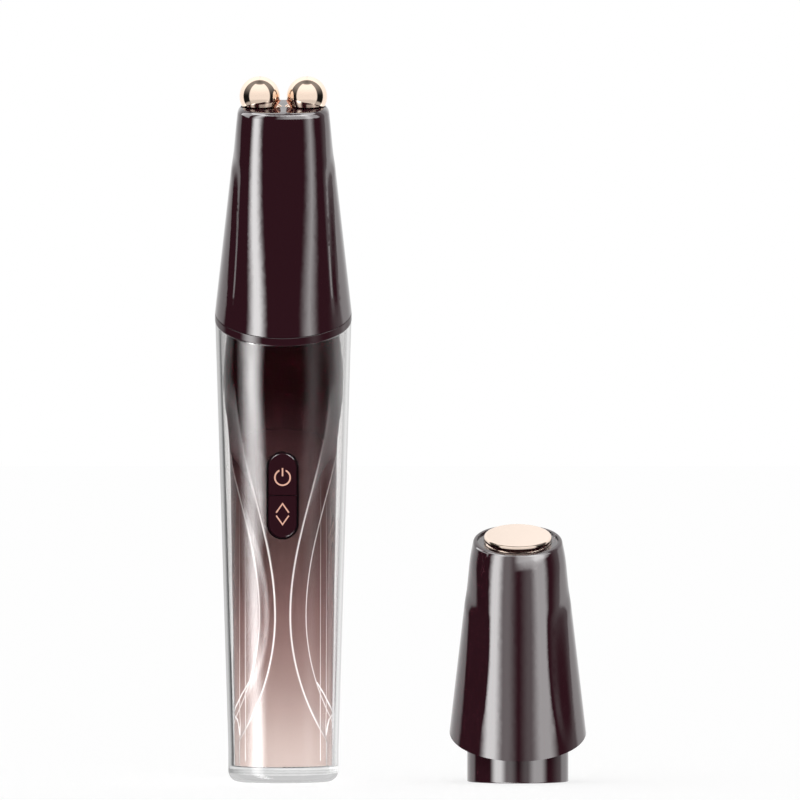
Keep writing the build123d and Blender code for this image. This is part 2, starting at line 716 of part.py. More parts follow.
def contact_pads(x, foot):
    """Four gold pads under that board, one over each contact pin."""
    with BuildPart() as pads:
        with BuildSketch(Plane.XY.offset(foot + 1.85)):
            with Locations([(x + spot_x, spot_y) for spot_x, spot_y in pin_spots]):
                Circle(0.9)
        extrude(amount=0.15)
    return pads.part


# Roller head: shell, plug and contacts
roller_form = HeadForm(
    x=0,
    rim_height=SEAM_HEIGHT,
    height=ROLLER_TOP - SEAM_HEIGHT,
    taper=0.1125,
    shoulder=0,
    top_depth=10.3,
    top_power=2.6,
    top_slope=ROLLER_TOP_SLOPE,
    petal_tip=41,
    valley=0.35,
    crease=42,
    crease_gain=0,
)
roller_top_plane = slant(0, ROLLER_TOP, ROLLER_TOP_SLOPE)
POCKET_RADIUS = BALL_RADIUS + BALL_CLEARANCE
ball_spots = [(-BALL_SPACING / 2, 0, BALL_HEIGHT), (BALL_SPACING / 2, 0, BALL_HEIGHT)]
ROLLER_CAVITY_TOP = 47.5
ROLLER_RIM_ROUNDING = 2.2
SADDLE_FOOT = 169.5
SADDLE_SCREW_LENGTH = 7.8
saddle_screw_spots = (-5.6, 5.6)
with BuildPart() as roller_shell:
    add(head_solid(roller_form))
    fillet(roller_shell.faces().sort_by(Axis.Z)[-1].edges(), ROLLER_RIM_ROUNDING)
    add(head_cavity(roller_form, 2.2, ROLLER_CAVITY_TOP), mode=Mode.SUBTRACT)
    with Locations(ball_spots):
        Sphere(POCKET_RADIUS, mode=Mode.SUBTRACT)
    with Locations((0, 0, ROLLER_TOP)):
        Box(5.2, 5.2, 30, mode=Mode.SUBTRACT)
    with Locations([(x, 0, SADDLE_FOOT) for x in saddle_screw_spots]):
        Cylinder(0.6, SADDLE_SCREW_LENGTH, align=(Align.CENTER, Align.CENTER, Align.MIN),
                 mode=Mode.SUBTRACT)
finish(roller_shell, "roller_shell")

with BuildPart() as roller_spigot:
    add(plug_spigot(0, SPIGOT_FOOT))
finish(roller_spigot, "roller_spigot")

with BuildPart() as roller_contact_board:
    add(contact_board(0, SPIGOT_FOOT))
finish(roller_contact_board, "roller_contact_board")

with BuildPart() as roller_pads:
    add(contact_pads(0, SPIGOT_FOOT))
finish(roller_pads, "roller_pads")

# Axle bracket: a stem with two arms that carry the balls
STEM_FOOT = 166
axle_x = cos(radians(AXLE_ANGLE))
axle_z = sin(radians(AXLE_ANGLE))
JUNCTION_HEIGHT = BALL_HEIGHT - BALL_SPACING / 2 * axle_z / axle_x
ARM_LENGTH = BALL_SPACING / 2 / axle_x + 2.3


def axle_plane(side, reach):
    """Plane across one ball's axle, at a reach from the ball's centre towards the stem."""
    return Plane(
        origin=(side * (BALL_SPACING / 2 - reach * axle_x), 0, BALL_HEIGHT - reach * axle_z),
        x_dir=(0, 1, 0),
        z_dir=(side * axle_x, 0, axle_z),
    )


with BuildPart() as axle_bracket:
    with BuildSketch(Plane.XY.offset(STEM_FOOT)):
        Circle(1.4)
    extrude(amount=JUNCTION_HEIGHT - STEM_FOOT)
    with Locations((0, 0, JUNCTION_HEIGHT)):
        Sphere(1.4)
    for side in (-1, 1):
        with BuildSketch(axle_plane(side, ARM_LENGTH - 2.3)):
            Circle(1)
        extrude(amount=ARM_LENGTH)
        add(ring_tube(axle_plane(side, -1.6), 1.2, 0.8, 0.4), mode=Mode.SUBTRACT)
finish(axle_bracket, "axle_bracket")

with BuildPart() as axle_clips:
    for side in (-1, 1):
        add(ring_tube(axle_plane(side, -1.6), 1.75, 0.8, 0.4))
finish(axle_clips, "axle_clips")

# Saddle: fills the top between the balls and holds the bracket
with BuildPart() as roller_saddle:
    with BuildSketch(Plane.XY.offset(SADDLE_FOOT)):
        RectangleRounded(15, 9, 2)
    extrude(amount=12)
    cavity_slope = roller_form.slope(ROLLER_CAVITY_TOP)
    split(bisect_by=slant(0, SEAM_HEIGHT + ROLLER_CAVITY_TOP, cavity_slope), keep=Keep.BOTTOM)
    with BuildSketch(Plane.XY.offset(SADDLE_FOOT + 1)):
        Rectangle(5, 5)
    extrude(amount=20)
    split(bisect_by=roller_top_plane, keep=Keep.BOTTOM)
    with Locations(ball_spots):
        Sphere(POCKET_RADIUS, mode=Mode.SUBTRACT)
    with Locations((0, 0, STEM_FOOT)):
        Cylinder(1.4, JUNCTION_HEIGHT - STEM_FOOT, align=(Align.CENTER, Align.CENTER, Align.MIN),
                 mode=Mode.SUBTRACT)
    with Locations((0, 0, JUNCTION_HEIGHT)):
        Sphere(1.4, mode=Mode.SUBTRACT)
    for side in (-1, 1):
        with BuildSketch(axle_plane(side, ARM_LENGTH - 2.3)):
            Circle(1)
        extrude(amount=ARM_LENGTH, mode=Mode.SUBTRACT)
    with Locations([(x, 0, SADDLE_FOOT) for x in saddle_screw_spots]):
        Cylinder(0.8, 20, mode=Mode.SUBTRACT)
finish(roller_saddle, "roller_saddle")

with BuildPart() as stem_nut:
    with BuildSketch(Plane.XY.offset(SADDLE_FOOT - 1.8)):
        RegularPolygon(2.8, 6)
        Circle(1.4, mode=Mode.SUBTRACT)
    extrude(amount=1.8)
finish(stem_nut, "stem_nut")

with BuildPart() as saddle_screws:
    with Locations([(x, 0, SADDLE_FOOT) for x in saddle_screw_spots]):
        Cylinder(1.4, 0.9, align=(Align.CENTER, Align.CENTER, Align.MAX))
        Cylinder(0.6, SADDLE_SCREW_LENGTH, align=(Align.CENTER, Align.CENTER, Align.MIN))
finish(saddle_screws, "saddle_screws")

with BuildPart() as contact_strip:
    with BuildSketch(Plane.XY.offset(SPIGOT_FOOT + 3)):
        Rectangle(2.4, 0.5)
    extrude(amount=STEM_FOOT - SPIGOT_FOOT - 3)
finish(contact_strip, "contact_strip")

# Balls: each turns on its own bush
for side, ball_name in ((-1, "left"), (1, "right")):
    with BuildPart() as ball:
        with Locations((side * BALL_SPACING / 2, 0, BALL_HEIGHT)):
            Sphere(BALL_RADIUS)
        for reach, radius, length in ((8, 2.15, 3.2), (8, 1.6, 9), (-0.9, 2, 1.9)):
            with BuildSketch(axle_plane(side, reach)):
                Circle(radius)
            extrude(amount=length, mode=Mode.SUBTRACT)
    finish(ball, f"{ball_name}_ball")
    with BuildPart() as bush:
        with BuildSketch(axle_plane(side, 5.35)):
            Circle(2.15)
        extrude(amount=0.55)
        with BuildSketch(axle_plane(side, 5.35)):
            Circle(1.6)
        extrude(amount=6.2)
        with BuildSketch(axle_plane(side, 6)):
            Circle(1.05)
        extrude(amount=9, mode=Mode.SUBTRACT)
    finish(bush, f"{ball_name}_bush")

# Spare head: shell, plug and contacts
spare_form = HeadForm(
    x=SPARE_X,
    rim_height=SPIGOT_DEPTH,
    height=SPARE_TOP - SPIGOT_DEPTH,
    taper=0.117,
    shoulder=0.5,
    top_depth=12,
    top_power=2.15,
    top_slope=SPARE_TOP_SLOPE,
    petal_tip=36.5,
    valley=0.55,
    crease=50,
    crease_gain=11,
)


def spare_plane(offset):
    """Plane parallel to the spare head's top, at an offset along its own normal."""
    return slant(SPARE_X, SPARE_TOP, SPARE_TOP_SLOPE).offset(offset)


# The mouth steps down to a ledge for the light ring, one for its board, and a narrow throat
SPARE_RIM_ROUNDING = 0.8
SPARE_CAVITY_TOP = 43
RING_LEDGE = -2.6
BOARD_LEDGE = -4.6
THROAT_FOOT = -12
THROAT_RADIUS = 6
with BuildPart() as spare_shell:
    add(head_solid(spare_form))
    fillet(spare_shell.faces().sort_by(Axis.Z)[-1].edges(), SPARE_RIM_ROUNDING)
    add(head_cavity(spare_form, 2.3, SPARE_CAVITY_TOP), mode=Mode.SUBTRACT)
    with BuildSketch(spare_plane(RING_LEDGE)):
        Circle(MOUTH_RADIUS)
    extrude(amount=6, mode=Mode.SUBTRACT)
    with BuildSketch(spare_plane(BOARD_LEDGE)):
        Circle(MOUTH_RADIUS - 1.2)
    extrude(amount=3, mode=Mode.SUBTRACT)
    with BuildSketch(spare_plane(THROAT_FOOT)):
        Circle(THROAT_RADIUS)
    extrude(amount=9, mode=Mode.SUBTRACT)
finish(spare_shell, "spare_shell")

with BuildPart() as spare_spigot:
    add(plug_spigot(SPARE_X, 0))
finish(spare_spigot, "spare_spigot")

with BuildPart() as spare_contact_board:
    add(contact_board(SPARE_X, 0))
finish(spare_contact_board, "spare_contact_board")

with BuildPart() as spare_pads:
    add(contact_pads(SPARE_X, 0))
finish(spare_pads, "spare_pads")

# Treatment plate: a polished dish with a threaded stem, held by a nut
with BuildPart() as treatment_plate:
    with BuildSketch(spare_plane(-1)):
        Circle(PLATE_RADIUS)
    extrude(amount=2.4)
    fillet(treatment_plate.edges(), 0.7)
    with BuildSketch(spare_plane(-9)):
        Circle(1.5)
    extrude(amount=8.2)
finish(treatment_plate, "treatment_plate")

# Light ring: smoked diffuser around the plate, on a ledge in the shell's mouth
with BuildPart() as light_ring:
    with BuildSketch(spare_plane(RING_LEDGE)):
        Circle(MOUTH_RADIUS - 0.05)
        Circle(1.5, mode=Mode.SUBTRACT)
    extrude(amount=1.6)
    with BuildSketch(spare_plane(-1)):
        Circle(MOUTH_RADIUS - 0.05)
        Circle(PLATE_RADIUS + 0.1, mode=Mode.SUBTRACT)
    extrude(amount=0.5)
finish(light_ring, "light_ring")

led_spots = [
    (8 * cos(radians(30 * turn)), 8 * sin(radians(30 * turn))) for turn in range(12)
]
with BuildPart() as led_emitters:
    with BuildSketch(spare_plane(BOARD_LEDGE + 1)):
        with Locations(led_spots):
            Rectangle(1.6, 1.6)
    extrude(amount=0.8)
finish(led_emitters, "led_emitters")

with BuildPart() as led_board:
    with BuildSketch(spare_plane(BOARD_LEDGE)):
        Circle(MOUTH_RADIUS - 1.5)
        Circle(1.5, mode=Mode.SUBTRACT)
    extrude(amount=1)
finish(led_board, "led_board")

with BuildPart() as plate_nut:
    with BuildSketch(spare_plane(BOARD_LEDGE - 2.2)):
        RegularPolygon(3, 6)
        Circle(1.5, mode=Mode.SUBTRACT)
    extrude(amount=2.2)
finish(plate_nut, "plate_nut")

with BuildPart() as spare_ribbon:
    with BuildSketch(Plane.XY.offset(3)):
        with Locations((SPARE_X, 6)):
            Rectangle(5, 0.25)
    extrude(amount=60)
    split(bisect_by=spare_plane(BOARD_LEDGE), keep=Keep.BOTTOM)
finish(spare_ribbon, "spare_ribbon")
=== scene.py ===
"""Looks of the facial light therapy device, in the order in which it is put together, in metres."""
import bpy
import json
from math import atan, atan2, cos, exp, pi, radians, sin, sqrt
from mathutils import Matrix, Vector


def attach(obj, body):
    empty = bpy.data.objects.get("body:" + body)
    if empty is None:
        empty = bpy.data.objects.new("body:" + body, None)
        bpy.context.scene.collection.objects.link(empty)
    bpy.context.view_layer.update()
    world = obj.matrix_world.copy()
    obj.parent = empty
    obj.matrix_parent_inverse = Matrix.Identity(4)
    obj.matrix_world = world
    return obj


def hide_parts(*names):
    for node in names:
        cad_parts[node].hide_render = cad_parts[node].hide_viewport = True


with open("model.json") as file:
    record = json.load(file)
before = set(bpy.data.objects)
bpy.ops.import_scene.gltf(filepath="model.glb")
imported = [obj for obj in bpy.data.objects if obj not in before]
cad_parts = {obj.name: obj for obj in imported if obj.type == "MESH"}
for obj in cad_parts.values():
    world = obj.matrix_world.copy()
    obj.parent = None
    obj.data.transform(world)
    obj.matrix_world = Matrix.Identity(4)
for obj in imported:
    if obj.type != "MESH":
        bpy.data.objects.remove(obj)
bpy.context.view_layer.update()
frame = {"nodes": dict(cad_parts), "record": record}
nodes = frame["nodes"]
MM = 0.001


# Painted core sleeve.
# The sculpted inner body of the handle, moulded in one piece, sprayed in a fade from near-black
# burgundy at the socket to pale rose at the foot, and lacquered. It stands on the shell's base, and
# the collar ring holds it down. Lengths are in millimetres here, up to where the mesh is made.
CORE_FOOT = 4.3
CORE_TOP = 133.5
CORE_STEPS = 120
CORE_SIDE = 13.1
CORE_SIDE_TAPER = 0.0145
CORE_FRONT = 13.2
CORE_FRONT_GAIN = 3.5
TAPER_FOOT = 9
TAPER_LENGTH = 115

# The panels are narrowest at the waist and widest at the shoulder, where the flutes run out and
# their hollow turns into a slight bulge.
SHOULDER_SWELL = 1.65
SHOULDER_SPREAD = 11
SHOULDER_HEIGHT = 108
WAIST_HEIGHT = 45
WAIST_HALF_WIDTH = 2
PANEL_GAIN = 10.2
FOOT_FLARE = 0.0082
LEAST_SIDE = 2
FLUTE_WIDTH = 4.1
FLUTE_SINK = 1.3
FLUTE_HOLLOW = 0.45
FLUTE_FOOT = 8
FLUTE_TOP = 96
FLUTE_RUN_OUT = 12
FLUTE_INSET = 0.12
BULGE_FOOT = FLUTE_TOP + 2
BULGE = 1.1
LEAST_DEPTH = 0.9

# Panels and flutes meet along rounded edges, each drawn through a few points.
EDGE_ROUNDING = 0.55
PANEL_EDGE_SHARE = 0.3
SIDE_EDGE_SHARE = 0.4
EDGE_POINTS = 5
PANEL_STEPS = 12
FLUTE_STEPS = 10
SIDE_STEPS = 6


def smooth(value):
    """Ease from 0 to 1 as the value goes from 0 to 1."""
    share = min(max(value, 0), 1)
    return share * share * (3 - 2 * share)


def arc(start, middle, end, trim, steps):
    """Points of the arc through three points, less a length that is trimmed off at each end."""
    first, second, third = Vector(start), Vector(middle), Vector(end)
    one, two = second - first, third - first
    area = 2 * one.cross(two)
    across = Vector((two.y * one.length_squared - one.y * two.length_squared,
                     one.x * two.length_squared - two.x * one.length_squared)) / area
    radius = across.length
    centre = first + across
    begin = atan2(first.y - centre.y, first.x - centre.x)
    sweep = atan2(third.y - centre.y, third.x - centre.x) - begin
    sweep = (sweep + pi) % (2 * pi) - pi
    low = trim / radius / abs(sweep)
    high = 1 - low
    points = []
    for step in range(steps + 1):
        angle = begin + sweep * (low + (high - low) * step / steps)
        points.append(centre + radius * Vector((cos(angle), sin(angle))))
    return points


def soft_corner(start, corner, end):
    """Points between two arcs that round the corner where they would meet."""
    points = []
    for step in range(1, EDGE_POINTS + 1):
        share = step / (EDGE_POINTS + 1)
        points.append(start * (1 - share) ** 2 + corner * 2 * share * (1 - share) + end * share**2)
    return points


def core_widths(height):
    """Half-widths of the core's side, front panel and flute edge, and the front's half-depth."""
    swell = SHOULDER_SWELL * exp(-(((height - SHOULDER_HEIGHT) / SHOULDER_SPREAD) ** 2))
    side = CORE_SIDE + CORE_SIDE_TAPER * height + swell
    front = CORE_FRONT + CORE_FRONT_GAIN * min(max((height - TAPER_FOOT) / TAPER_LENGTH, 0), 1)
    if height > WAIST_HEIGHT:
        climb = min((height - WAIST_HEIGHT) / (SHOULDER_HEIGHT - WAIST_HEIGHT), 1)
        panel = WAIST_HALF_WIDTH + PANEL_GAIN * (0.5 - 0.5 * cos(pi * climb))
    else:
        panel = WAIST_HALF_WIDTH + FOOT_FLARE * (WAIST_HEIGHT - height) ** 2
    panel = min(panel, side - LEAST_SIDE)
    flute = min(panel + FLUTE_WIDTH, side - FLUTE_INSET)
    return side, panel, flute, front


def core_outline(height):
    """Section of the core: front and back panels, two side panels and four flutes between."""
    side, panel, flute, front = core_widths(height)
    run_in = smooth((height - FLUTE_FOOT) / FLUTE_RUN_OUT)
    waist = run_in * (1 - smooth((height - FLUTE_TOP) / FLUTE_RUN_OUT))
    hollow = FLUTE_HOLLOW - BULGE * smooth((height - BULGE_FOOT) / FLUTE_RUN_OUT)
    panel_corner = Vector((panel, front * sqrt(1 - (panel / side) ** 2)))
    flute_depth = max((front - FLUTE_SINK * waist) * sqrt(1 - (flute / side) ** 2), LEAST_DEPTH)
    flute_corner = Vector((flute, flute_depth))
    run = flute_corner - panel_corner
    inward = Vector((run.y, -run.x)).normalized() * hollow
    flute_middle = (panel_corner + flute_corner) / 2 + inward
    panel_trim = min(EDGE_ROUNDING, run.length * PANEL_EDGE_SHARE)
    side_trim = min(EDGE_ROUNDING, flute_depth * SIDE_EDGE_SHARE)
    mirrored = Vector((-panel_corner.x, panel_corner.y))
    low_corner = Vector((flute_corner.x, -flute_corner.y))
    panel_arc = arc(mirrored, (0, front), panel_corner, panel_trim, 2 * PANEL_STEPS)[PANEL_STEPS:]
    flute_arc = arc(panel_corner, flute_middle, flute_corner, panel_trim, FLUTE_STEPS)
    side_arc = arc(flute_corner, (side, 0), low_corner, side_trim, 2 * SIDE_STEPS)[:SIDE_STEPS + 1]
    quarter = panel_arc + soft_corner(panel_arc[-1], panel_corner, flute_arc[0]) + flute_arc
    quarter += soft_corner(flute_arc[-1], flute_corner, side_arc[0]) + side_arc
    right = quarter + [Vector((point.x, -point.y)) for point in reversed(quarter[:-1])]
    left = [Vector((-point.x, point.y)) for point in reversed(right[1:-1])]
    return right + left


def activate(piece):
    """Makes the piece the only one selected, and the active one."""
    bpy.ops.object.select_all(action="DESELECT")
    bpy.context.view_layer.objects.active = piece
    piece.select_set(True)


def lofted_mesh(name, rings):
    """A closed solid through rings of points, in millimetres, which all have as many points."""
    count = len(rings[0])
    corners = [(x * MM, y * MM, z * MM) for ring in rings for x, y, z in ring]
    faces = [list(range(count)), list(reversed(range(len(corners) - count, len(corners))))]
    for level in range(len(rings) - 1):
        low = level * count
        for spot in range(count):
            after = (spot + 1) % count
            faces.append((low + spot, low + count + spot, low + count + after, low + after))
    mesh = bpy.data.meshes.new(name)
    mesh.from_pydata(corners, [], faces)
    piece = bpy.data.objects.new(name, mesh)
    bpy.context.scene.collection.objects.link(piece)
    activate(piece)
    bpy.ops.object.mode_set(mode="EDIT")
    bpy.ops.mesh.select_all(action="SELECT")
    bpy.ops.mesh.normals_make_consistent(inside=False)
    bpy.ops.object.mode_set(mode="OBJECT")
    return piece


def round_cutter(radius, foot, top):
    """An upright round cutter about the handle's axis."""
    bpy.ops.object.select_all(action="DESELECT")
    bpy.ops.mesh.primitive_cylinder_add(
        vertices=128, radius=radius * MM, depth=(top - foot) * MM,
        location=(0, 0, (top + foot) / 2 * MM))
    return bpy.context.object


def slot_cutter(length, width, upright, centre, near, far):
    """A slot-shaped cutter that reaches from one depth to another; depths grow to the back."""
    bpy.ops.object.select_all(action="DESELECT")
    bpy.ops.mesh.primitive_cylinder_add(
        vertices=64, radius=width / 2 * MM, depth=(far - near) * MM, rotation=(pi / 2, 0, 0))
    bpy.ops.object.transform_apply(location=False, rotation=True, scale=False)
    cutter = bpy.context.object
    along = 2 if upright else 0
    almost_zero = 1e-9
    for corner in cutter.data.vertices:
        side = 1 if corner.co[along] > -almost_zero else -1
        corner.co[along] += side * (length - width) / 2 * MM
    cutter.location = (0, (near + far) / 2 * MM, centre * MM)
    return cutter


def block_above(height, slope):
    """A large block above the slanted plane that crosses the handle's axis at a height."""
    half_block = 100
    tilt = atan(slope)
    bpy.ops.object.select_all(action="DESELECT")
    bpy.ops.mesh.primitive_cube_add(size=2 * half_block * MM, rotation=(tilt, 0, 0))
    block = bpy.context.object
    upward = Vector((0, -sin(tilt), cos(tilt)))
    block.location = Vector((0, 0, height * MM)) + upward * half_block * MM
    return block


def cut(piece, cutter):
    """Takes the cutter's volume out of the piece and deletes the cutter."""
    step = piece.modifiers.new("cut", "BOOLEAN")
    step.operation = "DIFFERENCE"
    step.solver = "EXACT"
    step.object = cutter
    activate(piece)
    bpy.ops.object.modifier_apply(modifier=step.name)
    bpy.data.objects.remove(cutter)


# The slanted top, the bore for the chassis and the socket for a head.
TOP_HEIGHT = 124.55
TOP_SLOPE = 0.4
BORE_RADIUS = 11.2
BORE_FOOT = CORE_FOOT + 2
SOCKET_RADIUS = 13.85
SOCKET_FOOT = 111.3
CUT_TOP = 140
SHARP_ANGLE = radians(30)
heights = [CORE_FOOT + (CORE_TOP - CORE_FOOT) * step / CORE_STEPS for step in range(CORE_STEPS + 1)]
core_rings = [[(point.x, point.y, height) for point in core_outline(height)] for height in heights]
core = lofted_mesh("core", core_rings)
cut(core, block_above(TOP_HEIGHT, TOP_SLOPE))
cut(core, round_cutter(BORE_RADIUS, BORE_FOOT, CUT_TOP))
cut(core, round_cutter(SOCKET_RADIUS, SOCKET_FOOT, CUT_TOP))

# The keys' opening in front has three steps, each larger than the pill and from one depth to
# another: a rim for the frame, a throat for the keys and room for the mat. The port's is behind.
PILL_HEIGHT = 22.7
PILL_WIDTH = 7.5
PILL_CENTRE = 77.4
PILL_STEPS = ((0.9, -20, -14.3), (0.4, -17, -9), (2.5, -13.4, -8))
PORT_WIDTH = 12.7
PORT_OPENING = 6.7
PORT_HEIGHT = 19.5
PORT_DEPTHS = (9, 20)
for larger, near, far in PILL_STEPS:
    cut(core, slot_cutter(PILL_HEIGHT + larger, PILL_WIDTH + larger, True, PILL_CENTRE, near, far))
cut(core, slot_cutter(PORT_WIDTH, PORT_OPENING, False, PORT_HEIGHT, *PORT_DEPTHS))
activate(core)
bpy.ops.object.shade_smooth_by_angle(angle=SHARP_ANGLE)

# Pale lines along the flutes' edges are painted highlights, the glints that the rounded edges
# catch; they fade out towards the shoulder.
PANEL_GLINT_LINE = 0.28
FLUTE_GLINT_LINE = 0.6 * PANEL_GLINT_LINE
FLUTE_GLINT_STRENGTH = 0.8
GLINTS_START = 9
GLINTS_RUN_IN = 10
GLINTS_FADE = 66
GLINTS_RUN_OUT = 30
edge_glint_share = core.data.attributes.new("edge", "FLOAT", "POINT")
for corner, mark in zip(core.data.vertices, edge_glint_share.data):
    height = corner.co.z / MM
    from_middle = abs(corner.co.x / MM)
    _, panel, flute, _ = core_widths(height)
    from_panel = abs(from_middle - panel) / PANEL_GLINT_LINE
    from_flute = abs(from_middle - flute) / FLUTE_GLINT_LINE
    run_in = smooth((height - GLINTS_START) / GLINTS_RUN_IN)
    fade = run_in * (1 - smooth((height - GLINTS_FADE) / GLINTS_RUN_OUT))
    mark.value = fade * max(1 - from_panel, FLUTE_GLINT_STRENGTH * (1 - from_flute), 0)
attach(core, "handle")
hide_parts("core_sleeve")


def new_material(name):
    """A material whose Principled shader is still as it comes."""
    material = bpy.data.materials.new(name)
    material.use_nodes = True
    return material


def shader_of(material):
    """The Principled shader of a material."""
    return next(item for item in material.node_tree.nodes if item.type == "BSDF_PRINCIPLED")


NUMBER = "NodeSocketFloat"
VECTOR = "NodeSocketVector"


def new_group(name, inputs, outputs):
    """A node group with its inputs and outputs, given as names and kinds, and its end nodes."""
    group = bpy.data.node_groups.new(name, "ShaderNodeTree")
    for title, kind in inputs.items():
        group.interface.new_socket(title, in_out="INPUT", socket_type=kind)
    for title, kind in outputs.items():
        group.interface.new_socket(title, in_out="OUTPUT", socket_type=kind)
    return group, group.nodes.new("NodeGroupInput"), group.nodes.new("NodeGroupOutput")


def node(tree, kind, settings=None, **links):
    """A new node with its settings. A link names its input, with _ for a space or a number."""
    made = tree.nodes.new(kind)
    for title, value in (settings or {}).items():
        if hasattr(made, title):
            setattr(made, title, value)
        else:
            made.inputs[title].default_value = value
    for title, source in links.items():
        place = int(title[1:]) if title[1:].isdigit() else title.replace("_", " ")
        tree.links.new(source, made.inputs[place])
    return made


def number(tree, operation, *terms, clamp=False):
    """One sum on numbers or on outputs of nodes."""
    made = node(tree, "ShaderNodeMath", {"operation": operation, "use_clamp": clamp})
    for socket, term in zip(made.inputs, terms):
        if isinstance(term, (int, float)):
            socket.default_value = term
        else:
            tree.links.new(term, socket)
    return made.outputs[0]


def ranged(tree, value, start, end, low, high, kind="LINEAR"):
    """Takes a value that runs from start to end to one that runs from low to high."""
    made = node(tree, "ShaderNodeMapRange",
                {"interpolation_type": kind, "From Min": start, "From Max": end,
                 "To Min": low, "To Max": high}, Value=value)
    return made.outputs["Result"]


def blend(tree, share, first, second):
    """Mixes two colours by a share. Each is a plain colour or the output of a node."""
    mix = node(tree, "ShaderNodeMix", {"data_type": "RGBA"}, Factor=share)
    colour_inputs, colour_output = mix.inputs[6:8], mix.outputs[2]
    for socket, colour in zip(colour_inputs, (first, second)):
        if isinstance(colour, tuple):
            socket.default_value = (*colour, 1)
        else:
            tree.links.new(colour, socket)
    return colour_output


def lacquer_group():
    """Sprayed lacquer: a faint ripple, and polish that varies a little."""
    group, inside, outside = new_group(
        "sprayed_lacquer", {"Ripple": NUMBER, "Roughness": NUMBER},
        {"Roughness": NUMBER, "Height": NUMBER})
    place = node(group, "ShaderNodeTexCoord").outputs["Object"]
    ripple = node(group, "ShaderNodeTexNoise", {"Scale": 900, "Detail": 1}, Vector=place)
    polish = node(group, "ShaderNodeTexNoise", {"Scale": 160, "Detail": 3}, Vector=place)
    spread = ranged(group, polish.outputs["Fac"], 0, 1, low=0.7, high=1.3)
    rough = number(group, "MULTIPLY", spread, inside.outputs["Roughness"])
    high = number(group, "MULTIPLY", ripple.outputs["Fac"], inside.outputs["Ripple"])
    group.links.new(rough, outside.inputs["Roughness"])
    group.links.new(high, outside.inputs["Height"])
    return group


LACQUER = lacquer_group()


def lacquered(name, colour, roughness, ripple):
    """A gloss-lacquered material. Its colour is a plain one here, and may be linked over."""
    material = new_material(name)
    tree = material.node_tree
    coat = node(tree, "ShaderNodeGroup",
                {"node_tree": LACQUER, "Ripple": ripple, "Roughness": roughness})
    bump = node(tree, "ShaderNodeBump", {"Distance": 0.01 * MM}, Height=coat.outputs["Height"])
    shader = shader_of(material)
    shader.inputs["Base Color"].default_value = (*colour, 1)
    shader.inputs["Specular IOR Level"].default_value = 0
    shader.inputs["Coat Weight"].default_value = 1
    shader.inputs["Coat Roughness"].default_value = 0.03
    shader.inputs["Coat IOR"].default_value = 1.6
    tree.links.new(coat.outputs["Roughness"], shader.inputs["Roughness"])
    tree.links.new(bump.outputs["Normal"], shader.inputs["Normal"])
    return material


def paint_fade(material, stops, drift):
    """Links a sprayed fade along the height into the base colour, and lets it drift in patches.

    A stop is a height and a colour, and heights and the drift are in millimetres.
    """
    tree = material.node_tree
    place = node(tree, "ShaderNodeTexCoord").outputs["Object"]
    patches = node(tree, "ShaderNodeTexNoise", {"Scale": 220, "Detail": 4}, Vector=place)
    rise = node(tree, "ShaderNodeSeparateXYZ", Vector=place).outputs["Z"]
    drifted = number(tree, "MULTIPLY_ADD", patches.outputs["Fac"], drift * MM, rise)
    low, high = stops[0][0], stops[-1][0]
    climb = ranged(tree, drifted, low * MM, high * MM, 0, 1)
    fade = node(tree, "ShaderNodeValToRGB", Fac=climb)
    fade.color_ramp.interpolation = "B_SPLINE"
    ramp = fade.color_ramp.elements
    ramp.remove(ramp[1])
    for turn, (height, colour) in enumerate(stops):
        share = (height - low) / (high - low)
        stop = ramp[0] if turn == 0 else ramp.new(share)
        stop.position = share
        stop.color = (*colour, 1)
    tree.links.new(fade.outputs["Color"], shader_of(material).inputs["Base Color"])


def line_group():
    """A thin straight line between two points, which may fade along its length, as a mask."""
    group, inside, outside = new_group(
        "thin_line",
        {"Place": VECTOR, "From": VECTOR, "To": VECTOR, "Width": NUMBER, "Fade": NUMBER},
        {"Mask": NUMBER})
    start = inside.outputs["From"]
    along = node(group, "ShaderNodeVectorMath", {"operation": "SUBTRACT"},
                 _0=inside.outputs["To"], _1=start).outputs["Vector"]
    away = node(group, "ShaderNodeVectorMath", {"operation": "SUBTRACT"},
                _0=inside.outputs["Place"], _1=start).outputs["Vector"]
    reach = node(group, "ShaderNodeVectorMath", {"operation": "DOT_PRODUCT"}, _0=away, _1=along)
    whole = node(group, "ShaderNodeVectorMath", {"operation": "DOT_PRODUCT"}, _0=along, _1=along)
    share = number(group, "DIVIDE", reach.outputs["Value"], whole.outputs["Value"], clamp=True)
    foot = node(group, "ShaderNodeVectorMath", {"operation": "SCALE"}, Vector=along, Scale=share)
    gap = node(group, "ShaderNodeVectorMath", {"operation": "DISTANCE"},
               _0=away, _1=foot.outputs["Vector"])
    mask = node(group, "ShaderNodeMapRange", {"To Min": 1, "To Max": 0},
                Value=gap.outputs["Value"], From_Max=inside.outputs["Width"])
    lost = number(group, "MULTIPLY", share, inside.outputs["Fade"])
    kept = number(group, "SUBTRACT", 1, lost)
    faded = number(group, "MULTIPLY", mask.outputs["Result"], kept)
    group.links.new(faded, outside.inputs["Mask"])
    return group


THIN_LINE = line_group()


